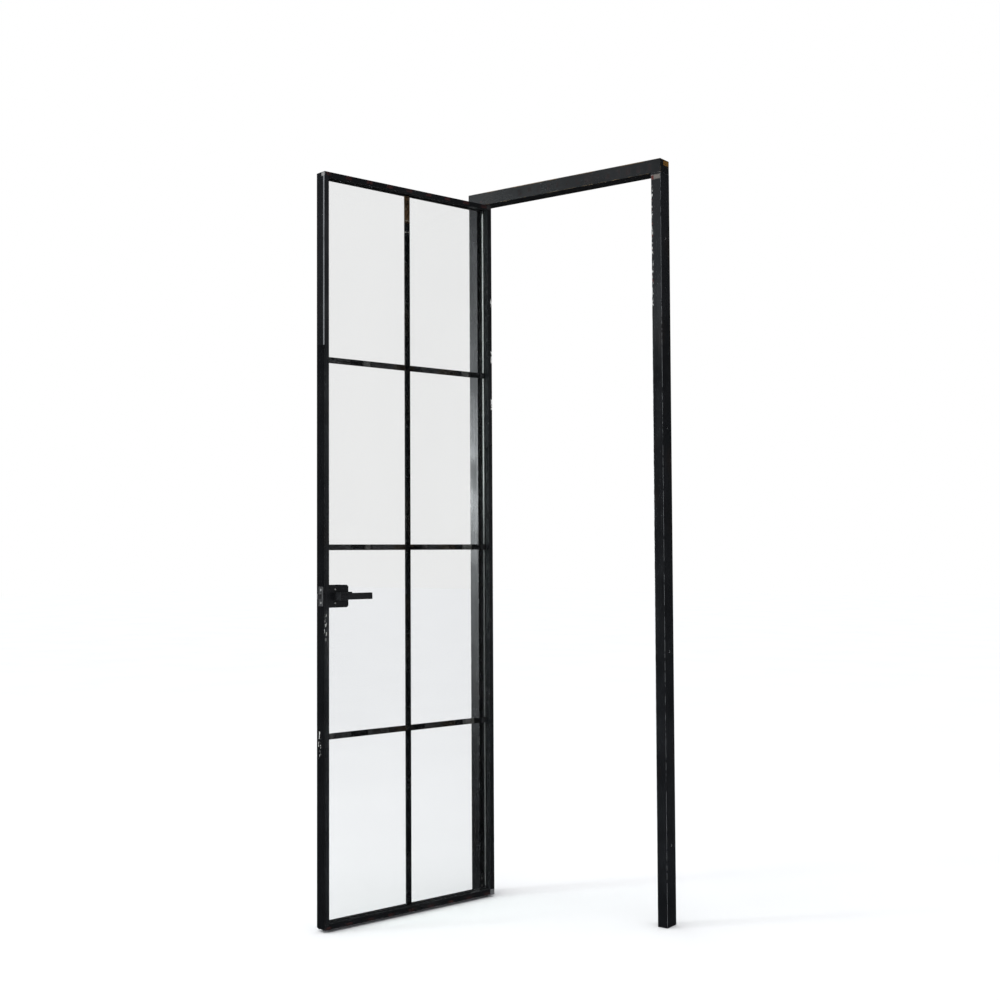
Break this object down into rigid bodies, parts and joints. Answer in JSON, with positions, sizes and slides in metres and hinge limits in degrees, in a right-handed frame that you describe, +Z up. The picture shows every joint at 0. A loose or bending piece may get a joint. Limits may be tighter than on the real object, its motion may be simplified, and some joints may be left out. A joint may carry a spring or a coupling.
{
  "type": "glass door with frame",
  "caption": "Slim black aluminium door frame with a glazed leaf on corner pivots, bars between its panes, a lever handle and a sprung latch.",
  "frame": {"origin": "middle of the hinge jamb's foot, at floor level and at half the frame's depth", "axes": "+X along the frame from the hinge jamb to the lock jamb, +Y from the pull side to the push side, +Z up"},
  "size_m": [0.9032, 0.7091, 2.4],
  "materials": {
    "black_coating": "fine satin black powder coating, worn at corners and edges",
    "bare_aluminium": "mill finish",
    "bright_steel": "bright zinc plated",
    "dull_steel": "dull grey",
    "black_rubber": "matt",
    "black_plastic": "matt",
    "clear_glass": "clear float glass"
  },
  "bodies": {
    "frame": {"head": "black_coating", "head_end_caps": "black_coating", "hinge_jamb": "black_coating", "lock_jamb": "black_coating", "frame_corner_blocks": "bare_aluminium", "frame_corner_screws": "bright_steel", "jamb_foot_plugs": "black_plastic", "strike_plate": "dull_steel", "strike_screws": "bright_steel", "stop_gasket": "black_rubber", "top_pivot_plate": "dull_steel", "top_pivot_pin": "bright_steel", "top_pivot_screws": "bright_steel", "bottom_pivot_bracket": "dull_steel", "bottom_pivot_pin": "bright_steel", "bottom_pivot_screws": "bright_steel"},
    "leaf": {"hinge_stile": "black_coating", "lock_stile": "black_coating", "top_rail": "black_coating", "bottom_rail": "black_coating", "leaf_corner_cleats": "bare_aluminium", "top_pivot_shoe": "dull_steel", "bottom_pivot_shoe": "dull_steel", "push_pane": "clear_glass", "pull_pane": "clear_glass", "glass_spacer": "bare_aluminium", "edge_sealant": "black_rubber", "upright_bar": "black_coating", "cross_bars": "black_coating", "stile_beads": "black_coating", "rail_beads": "black_coating", "glazing_gasket": "black_rubber", "setting_blocks": "black_plastic", "bottom_seal": "black_rubber", "lock_case": "dull_steel", "faceplate": "dull_steel", "faceplate_screws": "bright_steel", "push_cover": "black_coating", "pull_cover": "black_coating", "cover_screws": "bright_steel"},
    "lever": {"push_lever": "black_coating", "pull_lever": "black_coating", "spindle": "dull_steel", "follower": "dull_steel", "lever_set_screws": "bright_steel"},
    "latch": {"latch_bolt": "bright_steel"}
  },
  "joints": [
    {"name": "leaf_swing", "type": "hinge", "parent": "frame", "child": "leaf", "pos_m": [0.0345, -0.0155, 0], "axis": [0, 0, 1], "range_deg": [-7, 103]},
    {"name": "lever_turn", "type": "hinge", "parent": "leaf", "child": "lever", "pos_m": [-0.10666, -0.62692, 1.028], "axis": [-0.9744, 0.225, 0], "range_deg": [0, 45], "stiffness_Nm_per_rad": 1, "springref_deg": -20.05},
    {"name": "latch_slide", "type": "slide", "parent": "leaf", "child": "latch", "axis": [-0.225, -0.9744, 0], "range_m": [-0.0105, 0]}
  ],
  "couplings": [
    {"joint": "latch_slide", "follows": "lever_turn", "m_per_rad": -0.01336}
  ]
}
